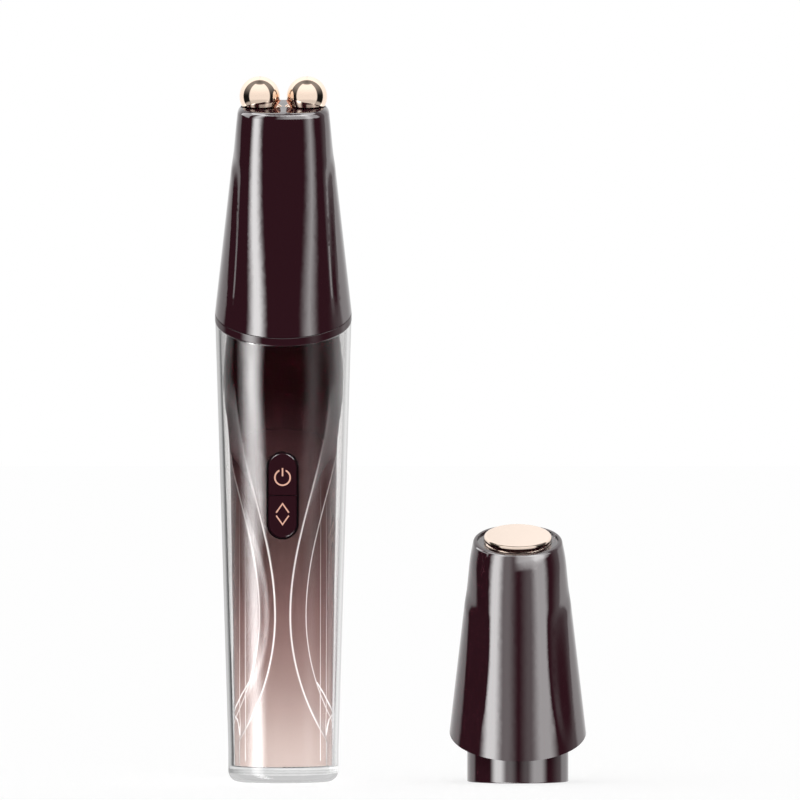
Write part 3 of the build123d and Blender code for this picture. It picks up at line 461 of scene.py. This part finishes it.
def paint_glint_lines(material, colour, lines):
    """Mixes a pale colour in as painted highlights on the marked edges and on thin lines,
    mirrored from side to side.

    A line is given by its ends, as (distance from the middle, height), its width and the share
    of it that fades away towards its second end.
    """
    tree = material.node_tree
    place = node(tree, "ShaderNodeTexCoord").outputs["Object"]
    split = node(tree, "ShaderNodeSeparateXYZ", Vector=place)
    from_middle = number(tree, "ABSOLUTE", split.outputs["X"])
    flat = node(tree, "ShaderNodeCombineXYZ", X=from_middle, Z=split.outputs["Z"]).outputs[0]
    mask = node(tree, "ShaderNodeAttribute", {"attribute_name": "edge"}).outputs["Fac"]
    for start, end, width, fade in lines:
        line = node(tree, "ShaderNodeGroup",
                    {"node_tree": THIN_LINE, "Fade": fade, "Width": width * MM,
                     "From": (start[0] * MM, 0, start[1] * MM),
                     "To": (end[0] * MM, 0, end[1] * MM)}, Place=flat)
        mask = number(tree, "MAXIMUM", mask, line.outputs["Mask"])
    base = shader_of(material).inputs["Base Color"]
    tree.links.new(blend(tree, mask, base.links[0].from_socket, colour), base)


CORE_FADE = [
    (5, (0.49, 0.40, 0.37)),
    (23, (0.31, 0.22, 0.20)),
    (45, (0.168, 0.090, 0.086)),
    (60, (0.112, 0.064, 0.060)),
    (74, (0.074, 0.038, 0.037)),
    (88, (0.054, 0.023, 0.025)),
    (98, (0.026, 0.007, 0.009)),
    (106, (0.012, 0.0, 0.001)),
]
FADE_DRIFT = 2

# Painted highlights as well: branching glint strokes near the foot, and two fine upright glint
# lines that fade towards the shoulder.
GLINT_COLOUR = (0.98, 0.95, 0.94)
CORE_GLINT_LINES = [
    ((8.9, 27.0), (10.6, 24.0), 0.24, 0),
    ((10.6, 24.0), (13.1, 18.6), 0.24, 0),
    ((13.1, 18.6), (14.4, 15.0), 0.24, 0),
    ((13.1, 18.6), (12.0, 17.0), 0.24, 0),
    ((12.0, 17.0), (11.3, 12.8), 0.24, 0),
    ((9.7, 6.0), (9.9, 82.0), 0.13, 1),
    ((11.2, 6.0), (11.4, 80.0), 0.11, 1),
]
core_paint = lacquered("core_paint", CORE_FADE[0][1], roughness=0.25, ripple=1)
paint_fade(core_paint, CORE_FADE, FADE_DRIFT)
paint_glint_lines(core_paint, GLINT_COLOUR, CORE_GLINT_LINES)
core.data.materials.append(core_paint)

# Clear shell.
# A thick-walled cup of clear acrylic with a solid base, injection moulded and polished, which
# slips over the core and is held by the collar ring. Faint flow lines run along its walls.
clear_acrylic = new_material("clear_acrylic")
acrylic_shader = shader_of(clear_acrylic)
acrylic_shader.inputs["Transmission Weight"].default_value = 1
acrylic_shader.inputs["Roughness"].default_value = 0
acrylic_shader.inputs["IOR"].default_value = 1.49
tree = clear_acrylic.node_tree
place = node(tree, "ShaderNodeTexCoord").outputs["Object"]
stretch = node(tree, "ShaderNodeMapping", {"Scale": (1, 1, 0.03)}, Vector=place).outputs[0]
flow = node(tree, "ShaderNodeTexNoise", {"Scale": 420, "Detail": 2}, Vector=stretch).outputs["Fac"]
bump = node(tree, "ShaderNodeBump", {"Distance": 0.02 * MM}, Height=flow)
tree.links.new(bump.outputs["Normal"], acrylic_shader.inputs["Normal"])

# The walls are streaked a little darker along their length, clearer towards the foot, and the
# thick base has a grey band of painted shade at its top, where it meets the core.
STREAK_DARK = (0.74, 0.73, 0.725)
STREAK_PALE = (0.83, 0.82, 0.815)
CLEAR_FOOT = (0.95, 0.95, 0.95)
SHADE_BAND_GREY = (0.70, 0.70, 0.70)
CLEARER_FROM = 65 * MM
CLEAREST_AT = 15 * MM
SHADE_BAND_FOOT = 2.5 * MM
SHADE_BAND_TOP = 4.3 * MM
streak = ranged(tree, flow, 0.35, 0.65, 0, 1)
rise = node(tree, "ShaderNodeSeparateXYZ", Vector=place).outputs["Z"]
clearer = ranged(tree, rise, CLEARER_FROM, CLEAREST_AT, 0, 1)
walls = blend(tree, clearer, blend(tree, streak, STREAK_DARK, STREAK_PALE), CLEAR_FOOT)
over_foot = number(tree, "GREATER_THAN", rise, SHADE_BAND_FOOT)
under_top = number(tree, "LESS_THAN", rise, SHADE_BAND_TOP)
tint_and_shade_band = blend(tree, number(tree, "MULTIPLY", over_foot, under_top), walls, SHADE_BAND_GREY)
tree.links.new(tint_and_shade_band, acrylic_shader.inputs["Base Color"])


def dress(material, *names):
    """Gives CAD nodes their material."""
    for name in names:
        nodes[name].data.materials.clear()
        nodes[name].data.materials.append(material)


dress(clear_acrylic, "clear_shell")

# Collar ring and socket.
# The collar is turned and lacquered like the heads. The seal below it is a square silicone ring,
# and the socket's floor is a plain moulding held by two screws, with gold contact pins.
burgundy = lacquered("burgundy_gloss", (0.034, 0.009, 0.014), roughness=0.25, ripple=1)
dress(burgundy, "collar_ring")


def grain_group():
    """A fine surface grain that varies tone, polish and relief."""
    group, inside, outside = new_group(
        "fine_grain", {"Vector": VECTOR, "Scale": NUMBER, "Roughness": NUMBER},
        {"Tone": NUMBER, "Roughness": NUMBER, "Height": NUMBER})
    place, scale = inside.outputs["Vector"], inside.outputs["Scale"]
    coarse_scale = number(group, "MULTIPLY", scale, 0.15)
    fine = node(group, "ShaderNodeTexNoise", {"Detail": 6}, Vector=place, Scale=scale)
    coarse = node(group, "ShaderNodeTexNoise", {"Detail": 2}, Vector=place, Scale=coarse_scale)
    spread = ranged(group, coarse.outputs["Fac"], 0, 1, low=0.75, high=1.3)
    rough = number(group, "MULTIPLY", spread, inside.outputs["Roughness"])
    group.links.new(coarse.outputs["Fac"], outside.inputs["Tone"])
    group.links.new(rough, outside.inputs["Roughness"])
    group.links.new(fine.outputs["Fac"], outside.inputs["Height"])
    return group


GRAIN = grain_group()


def grained(name, colour, roughness, grain, relief, metallic=0, stretch=(1, 1, 1), tone=0.2):
    """A material with so many grains per metre, a relief in metres and a tone that drifts."""
    material = new_material(name)
    tree = material.node_tree
    place = node(tree, "ShaderNodeTexCoord").outputs["Object"]
    drawn = node(tree, "ShaderNodeMapping", {"Scale": stretch}, Vector=place).outputs[0]
    skin = node(tree, "ShaderNodeGroup",
                {"node_tree": GRAIN, "Scale": grain, "Roughness": roughness}, Vector=drawn)
    darker = tuple(channel * (1 - tone) for channel in colour)
    paler = tuple(min(channel * (1 + tone), 1) for channel in colour)
    shift = blend(tree, skin.outputs["Tone"], darker, paler)
    bump = node(tree, "ShaderNodeBump", {"Distance": relief}, Height=skin.outputs["Height"])
    shader = shader_of(material)
    shader.inputs["Metallic"].default_value = metallic
    tree.links.new(shift, shader.inputs["Base Color"])
    tree.links.new(skin.outputs["Roughness"], shader.inputs["Roughness"])
    tree.links.new(bump.outputs["Normal"], shader.inputs["Normal"])
    return material


rubber = grained(
    "black_rubber", (0.012, 0.012, 0.013), roughness=0.75, grain=2500, relief=0.02 * MM)
moulding = grained(
    "chassis_plastic", (0.60, 0.60, 0.57), roughness=0.45, grain=3000, relief=0.01 * MM, tone=0.06)
turned_steel = grained(
    "steel", (0.56, 0.56, 0.57), roughness=0.28, grain=900, relief=0.01 * MM,
    metallic=1, stretch=(1, 1, 8))
gold_contact = grained(
    "gold_contact", (0.90, 0.66, 0.30), roughness=0.22, grain=1500, relief=0.004 * MM, metallic=1)
chip_black = grained(
    "chip_black", (0.014, 0.014, 0.015), roughness=0.55, grain=4000, relief=0.015 * MM)
dress(rubber, "socket_seal")
dress(moulding, "socket_floor")
dress(turned_steel, "floor_screws")
dress(chip_black, "contact_block")
dress(gold_contact, "contact_pins")

# Keys.
# Two halves of one pill in the same lacquer, behind a thin black frame, each with an inlaid icon
# of rose gold. A silicone mat behind them presses two small dome switches on the main board.
black_gloss = lacquered("black_gloss", (0.006, 0.004, 0.005), roughness=0.2, ripple=1)
icon_gold = grained(
    "icon_gold", (0.84, 0.47, 0.36), roughness=0.22, grain=3000, relief=0.002 * MM,
    metallic=1, tone=0.05)
dress(burgundy, "power_key", "level_key")
dress(black_gloss, "key_bezel")
dress(icon_gold, "power_icon", "level_icon")
dress(rubber, "key_mat")
dress(turned_steel, "key_switches")

# Inside of the handle.
# A moulded half tube carries the shrink-wrapped cell, the vibration motor in its rubber sleeve and
# the circuit board, which a flat amber cable joins to the contact pins.
steel_can = grained(
    "steel_can", (0.50, 0.51, 0.53), roughness=0.3, grain=700, relief=0.01 * MM,
    metallic=1, stretch=(6, 6, 0.4))
dress(moulding, "chassis")
dress(steel_can, "motor_can", "battery_tabs")
dress(turned_steel, "motor_shaft", "eccentric_weight")
dress(rubber, "motor_sleeve")
dress(chip_black, "board_chips")


def stripe_group():
    """Stripes at an even pitch, as a mask."""
    group, inside, outside = new_group(
        "stripes", {"Along": NUMBER, "Pitch": NUMBER, "Share": NUMBER}, {"Mask": NUMBER})
    turns = number(group, "DIVIDE", inside.outputs["Along"], inside.outputs["Pitch"])
    mask = number(group, "LESS_THAN", number(group, "FRACT", turns), inside.outputs["Share"])
    group.links.new(mask, outside.inputs["Mask"])
    return group


STRIPES = stripe_group()


def striped(material, axis, pitch, share, colour):
    """Mixes stripes of a second colour into the base colour, across one axis of the object."""
    tree = material.node_tree
    place = node(tree, "ShaderNodeTexCoord").outputs["Object"]
    along = node(tree, "ShaderNodeSeparateXYZ", Vector=place).outputs[axis]
    stripes = node(tree, "ShaderNodeGroup",
                   {"node_tree": STRIPES, "Pitch": pitch, "Share": share}, Along=along)
    base = shader_of(material).inputs["Base Color"]
    mixed = blend(tree, stripes.outputs["Mask"], base.links[0].from_socket, colour)
    tree.links.new(mixed, base)


battery_wrap = grained(
    "battery_wrap", (0.02, 0.08, 0.22), roughness=0.3, grain=350, relief=0.05 * MM)
striped(battery_wrap, "Z", pitch=26 * MM, share=0.12, colour=(0.55, 0.57, 0.58))
circuit_board = grained(
    "circuit_board", (0.01, 0.09, 0.035), roughness=0.35, grain=2500, relief=0.01 * MM)
striped(circuit_board, "X", pitch=1.3 * MM, share=0.3, colour=(0.02, 0.16, 0.06))
striped(circuit_board, "Z", pitch=7 * MM, share=0.06, colour=(0.62, 0.45, 0.2))
flex_film = grained(
    "flex_film", (0.50, 0.16, 0.02), roughness=0.3, grain=1200, relief=0.01 * MM)
striped(flex_film, "X", pitch=0.8 * MM, share=0.45, colour=(0.62, 0.26, 0.07))
dress(battery_wrap, "battery")
dress(circuit_board, "main_board")
dress(flex_film, "flex_cable")

# Charging socket.
# A drawn steel socket on its own small board, screwed to two posts of the core, behind a
# gloss-black frame that is let into the back of the clear shell.
dress(circuit_board, "charge_board")
dress(turned_steel, "charge_board_screws")
dress(steel_can, "charging_socket")
dress(black_gloss, "port_bezel")

# Roller head.
# A lacquered shell with a side petal on each side, closed by its plug. A board in the plug feeds
# the balls by a brass strip; a saddle between the balls holds the axle bracket.
dress(burgundy, "roller_shell", "roller_spigot", "roller_saddle")
dress(circuit_board, "roller_contact_board")
dress(gold_contact, "roller_pads", "contact_strip")
dress(turned_steel, "axle_clips", "stem_nut", "saddle_screws")

# Balls and axle bracket.
# Brass with a mirror-polished rose-gold plating; each ball turns on a bush of rose plastic.
rose_gold = grained(
    "rose_gold", (0.97, 0.78, 0.64), roughness=0.035, grain=600, relief=0.0005 * MM,
    metallic=1, tone=0.03)
bush_plastic = grained(
    "bush_plastic", (0.72, 0.30, 0.18), roughness=0.4, grain=3000, relief=0.01 * MM)
dress(rose_gold, "left_ball", "right_ball", "axle_bracket")
dress(bush_plastic, "left_bush", "right_bush")

# Spare head.
# The same shell and plug with another top: a polished rose-gold plate in a smoked diffuser ring,
# with twelve emitters on a round board below the ring.
plate_gold = grained(
    "plate_gold", (0.80, 0.66, 0.56), roughness=0.06, grain=500, relief=0.001 * MM,
    metallic=1, tone=0.03)
smoked = grained(
    "smoked_diffuser", (0.03, 0.012, 0.014), roughness=0.18, grain=1800, relief=0.01 * MM)
shader_of(smoked).inputs["Coat Weight"].default_value = 0.6
emitter = grained(
    "led_lens", (0.85, 0.68, 0.22), roughness=0.25, grain=1500, relief=0.01 * MM)
dress(burgundy, "spare_shell", "spare_spigot")
dress(plate_gold, "treatment_plate")
dress(smoked, "light_ring")
dress(emitter, "led_emitters")
dress(circuit_board, "led_board", "spare_contact_board")
dress(gold_contact, "spare_pads")
dress(turned_steel, "plate_nut")
dress(flex_film, "spare_ribbon")

# Studio.
# A pale floor that runs into a white background, and a long lens level with the object, square to
# its front, as the photograph was framed.
CAMERA_X = 0.0315
CAMERA_HEIGHT = 0.103
CAMERA_DISTANCE = 2.5
VIEW_WIDTH = 0.216
SENSOR = 36
camera = bpy.data.cameras.new("camera")
camera.sensor_width = SENSOR
camera.lens = SENSOR * CAMERA_DISTANCE / VIEW_WIDTH
camera.clip_end = 100
camera_stand = bpy.data.objects.new("camera", camera)
camera_stand.location = (CAMERA_X, -CAMERA_DISTANCE, CAMERA_HEIGHT)
camera_stand.rotation_euler = (radians(90), 0, 0)
bpy.context.scene.collection.objects.link(camera_stand)
bpy.context.scene.camera = camera_stand

# Bounces are counted in whole numbers, so a count over a half is at least one.
AT_LEAST_ONE = 0.5
WHITE = (1, 1, 1, 1)


def ease(tree, value, start, end, low, high):
    """Does what ranged does, with a soft start and a soft end."""
    return ranged(tree, value, start, end, low, high, kind="SMOOTHSTEP")


def remainder(tree, share):
    """What is left of 1 when the share is taken away."""
    return number(tree, "SUBTRACT", 1, share)


def ray_kind(tree, counted_before=0):
    """1 or 0 for a ray that has been reflected, has left a matt surface, has gone through glass.

    A world counts one bounce more than a surface does, also for a ray from the camera.
    """
    path = node(tree, "ShaderNodeLightPath").outputs
    reflections = number(tree, "SUBTRACT", path["Ray Depth"], path["Transmission Depth"])
    return {"reflected": number(tree, "GREATER_THAN", reflections, counted_before + AT_LEAST_ONE),
            "scattered": number(tree, "GREATER_THAN", path["Diffuse Depth"], AT_LEAST_ONE),
            "through": number(tree, "GREATER_THAN", path["Transmission Depth"], AT_LEAST_ONE)}


# Reflections don't see the floor. Seen through the clear shell, it is darker close by.
FLOOR_RADIUS = 12
FLOOR_TONE = (0.3, 0.3, 0.3, 1)
FLOOR_GLOW = 0.75
FLOOR_SHADE = 0.45
SHADE_NEAR = 0.03
SHADE_FAR = 0.5
bpy.ops.object.select_all(action="DESELECT")
bpy.ops.mesh.primitive_circle_add(
    vertices=96, radius=FLOOR_RADIUS, fill_type="NGON", location=(0, 0, 0))
floor = bpy.context.object
floor.name = "floor"
floor_paint = new_material("floor_paint")
tree = floor_paint.node_tree
tree.nodes.clear()
rays = ray_kind(tree)
distance = node(tree, "ShaderNodeLightPath").outputs["Ray Length"]
darkening = ease(tree, distance, SHADE_NEAR, SHADE_FAR, FLOOR_SHADE, 0)
shaded = number(tree, "MULTIPLY", rays["through"], darkening)
matt = node(tree, "ShaderNodeBsdfDiffuse", {"Color": FLOOR_TONE})
glow = node(tree, "ShaderNodeEmission", {"Color": WHITE},
            Strength=number(tree, "SUBTRACT", FLOOR_GLOW, shaded))
both = node(tree, "ShaderNodeAddShader", _0=matt.outputs[0], _1=glow.outputs[0])
nothing = node(tree, "ShaderNodeBsdfTransparent")
unseen = node(tree, "ShaderNodeMixShader",
              _0=rays["reflected"], _1=both.outputs[0], _2=nothing.outputs[0])
node(tree, "ShaderNodeOutputMaterial", Surface=unseen.outputs[0])
floor.data.materials.append(floor_paint)
floor.visible_glossy = False

# The background is white to the camera and through the clear shell, and there it dims sideways.
# Reflections see next to nothing of it: they have domes of their own, below.
PLAIN_LEVEL = 0.8
LEVEL_IN_ACRYLIC = 3.0
FAINT_LEVEL = 0.01
DIMMING = 0.6
DIMMED_FROM = 0.35
DIMMED_TO = 0.97
world = bpy.data.worlds.new("studio")
bpy.context.scene.world = world
world.use_nodes = True
world.cycles.sampling_method = "NONE"
tree = world.node_tree
tree.nodes.clear()
aim = node(tree, "ShaderNodeTexCoord").outputs["Generated"]
ahead = node(tree, "ShaderNodeSeparateXYZ", Vector=aim).outputs["Y"]
rays = ray_kind(tree, counted_before=1)
dimming = ease(tree, ahead, DIMMED_FROM, DIMMED_TO, DIMMING, 0)
dimmed = number(tree, "MULTIPLY", rays["through"], dimming)
backdrop = number(tree, "MULTIPLY", remainder(tree, rays["reflected"]), remainder(tree, dimmed))
faint = number(tree, "MULTIPLY", rays["reflected"], FAINT_LEVEL)
seen = number(tree, "ADD", faint, backdrop)
gain = number(tree, "MULTIPLY", rays["through"], LEVEL_IN_ACRYLIC - PLAIN_LEVEL)
lighting = number(tree, "MULTIPLY", rays["scattered"], number(tree, "ADD", gain, PLAIN_LEVEL))
direct = number(tree, "MULTIPLY", remainder(tree, rays["scattered"]), seen)
sky = node(tree, "ShaderNodeBackground", {"Color": WHITE},
           Strength=number(tree, "ADD", lighting, direct))
node(tree, "ShaderNodeOutputWorld", Surface=sky.outputs[0])


# Light boxes, painted on large domes, one dome for each set of pieces, which only these reflect.
# A box is given by its azimuth from the camera's side, with right positive, its half width, its
# feather, its strength, its lowest and highest elevation and its feather there, in degrees. The
# backdrop behind the object starts and is full at two depths of the dome, of radius one, and has
# a strength. Each dome has a radius of its own, in metres, so that none lies on another.
def light_dome(name, radius, receivers, backdrop, boxes):
    """A dome of light boxes, seen only in the reflections of the receiving pieces."""
    bpy.ops.object.select_all(action="DESELECT")
    bpy.ops.mesh.primitive_uv_sphere_add(segments=48, ring_count=24, radius=radius)
    dome = bpy.context.object
    dome.name = name
    paint = new_material(name)
    paint.cycles.emission_sampling = "NONE"
    tree = paint.node_tree
    tree.nodes.clear()
    aim = node(tree, "ShaderNodeTexCoord").outputs["Object"]
    aim = node(tree, "ShaderNodeVectorMath", {"operation": "NORMALIZE"}, _0=aim).outputs[0]
    split = node(tree, "ShaderNodeSeparateXYZ", Vector=aim)
    towards = number(tree, "MULTIPLY", split.outputs["Y"], -1)
    azimuth = number(tree, "ARCTAN2", split.outputs["X"], towards)
    elevation = number(tree, "ARCSINE", split.outputs["Z"])
    start, end, strength = backdrop
    light = ease(tree, split.outputs["Y"], start, end, 0, strength)
    for centre, half, feather, strength, lowest, highest, fade in boxes:
        turned = number(tree, "SUBTRACT", azimuth, radians(centre))
        away = number(tree, "ABSOLUTE", number(tree, "WRAP", turned, pi, -pi))
        across = ease(tree, away, radians(half - feather), radians(half + feather), strength, 0)
        below = ease(tree, elevation, radians(lowest - fade), radians(lowest + fade), 0, 1)
        above = ease(tree, elevation, radians(highest - fade), radians(highest + fade), 1, 0)
        box = number(tree, "MULTIPLY", number(tree, "MULTIPLY", across, below), above)
        light = number(tree, "ADD", box, light)
    rays = ray_kind(tree)
    shown = number(tree, "MULTIPLY", rays["reflected"], remainder(tree, rays["scattered"]))
    nothing = node(tree, "ShaderNodeBsdfTransparent")
    glow = node(tree, "ShaderNodeEmission", {"Color": WHITE},
                Strength=number(tree, "MULTIPLY", light, shown))
    both = node(tree, "ShaderNodeAddShader", _0=nothing.outputs[0], _1=glow.outputs[0])
    node(tree, "ShaderNodeOutputMaterial", Surface=both.outputs[0])
    dome.data.materials.append(paint)
    dome.visible_camera = False
    dome.visible_diffuse = False
    dome.visible_shadow = False
    group = bpy.data.collections.new(name)
    for piece in receivers:
        group.objects.link(piece)
    dome.light_linking.receiver_collection = group


MIRRORS = ("left_ball", "right_ball", "axle_bracket", "treatment_plate", "power_icon", "level_icon")
KEYS = ("power_key", "level_key", "key_bezel", "key_mat")
ROLLER_BODIES = ("roller_head", "left_roller", "right_roller")


def pieces_of(*bodies):
    """The CAD pieces of some bodies, less the mirror-bright ones."""
    return [nodes[name] for body in bodies for name in frame["record"]["behaviour"]["bodies"][body]
            if name not in MIRRORS]


mirror_pieces = [nodes[name] for name in MIRRORS]
key_pieces = [nodes[name] for name in KEYS]
roller_pieces = pieces_of(*ROLLER_BODIES)
spare_pieces = pieces_of("spare_head")
elsewhere = mirror_pieces + key_pieces + roller_pieces + spare_pieces
handle_pieces = [piece for piece in nodes.values() if piece not in elsewhere] + [core]

# As in the photograph, the heads show no mirror image of the handle.
for piece in handle_pieces:
    piece.visible_glossy = False
light_dome("key_boxes", 8.5, key_pieces, (0.6, 0.9, 0.6), [
    (-65, 35, 10, 12, 28, 60, 5),
    (65, 35, 10, 12, 28, 60, 5),
    (55, 35, 10, 6, -60, -28, 5),
])
light_dome("roller_boxes", 7, roller_pieces, (0.35, 0.52, 1.1), [
    (-44, 11, 9, 13, -70, 18, 2),
    (-44, 11, 9, 9, 18, 75, 2),
    (44, 8, 12, 5, -70, 75, 2),
    (112, 18, 16, 0.6, -70, 85, 2),
    (-102, 27, 2, 5, 24, 80, 2),
    (42, 44, 6, 5, 24, 80, 2),
    (0, 179, 1, 5, 62, 80, 2),
])
light_dome("spare_boxes", 7.5, spare_pieces, (0.35, 0.52, 1.1), [
    (-46, 13, 9, 11, -70, 75, 2),
    (-20, 12, 10, 2, -70, 75, 2),
    (47, 16, 10, 5.5, -70, 75, 2),
    (22, 12, 10, 1.2, -70, 75, 2),
    (112, 18, 16, 0.6, -70, 85, 2),
    (-102, 27, 2, 5, 20, 80, 2),
    (42, 44, 6, 6, 20, 80, 2),
    (0, 179, 1, 5, 62, 80, 2),
])
light_dome("handle_boxes", 8, handle_pieces, (0.35, 0.6, 0.6), [
    (-56, 11, 11, 7.2, -70, 85, 2),
    (54, 8, 12, 0.5, -70, 85, 2),
    (112, 18, 16, 0.5, -70, 85, 2),
    (0, 179, 1, 3, 50, 80, 2),
])
light_dome("mirror_boxes", 9, mirror_pieces, (0.22, 0.32, 1.0), [
    (0, 61, 4, 0.93, -19, 70, 3),
    (0, 61, 4, 0.68, -88, -19, 1),
    (120, 57, 4, 0.45, -88, -24, 4),
    (-120, 57, 4, 0.45, -88, -24, 4),
    (0, 179, 1, 0.28, 28, 89, 26),
])

bpy.context.scene.view_settings.view_transform = "Standard"
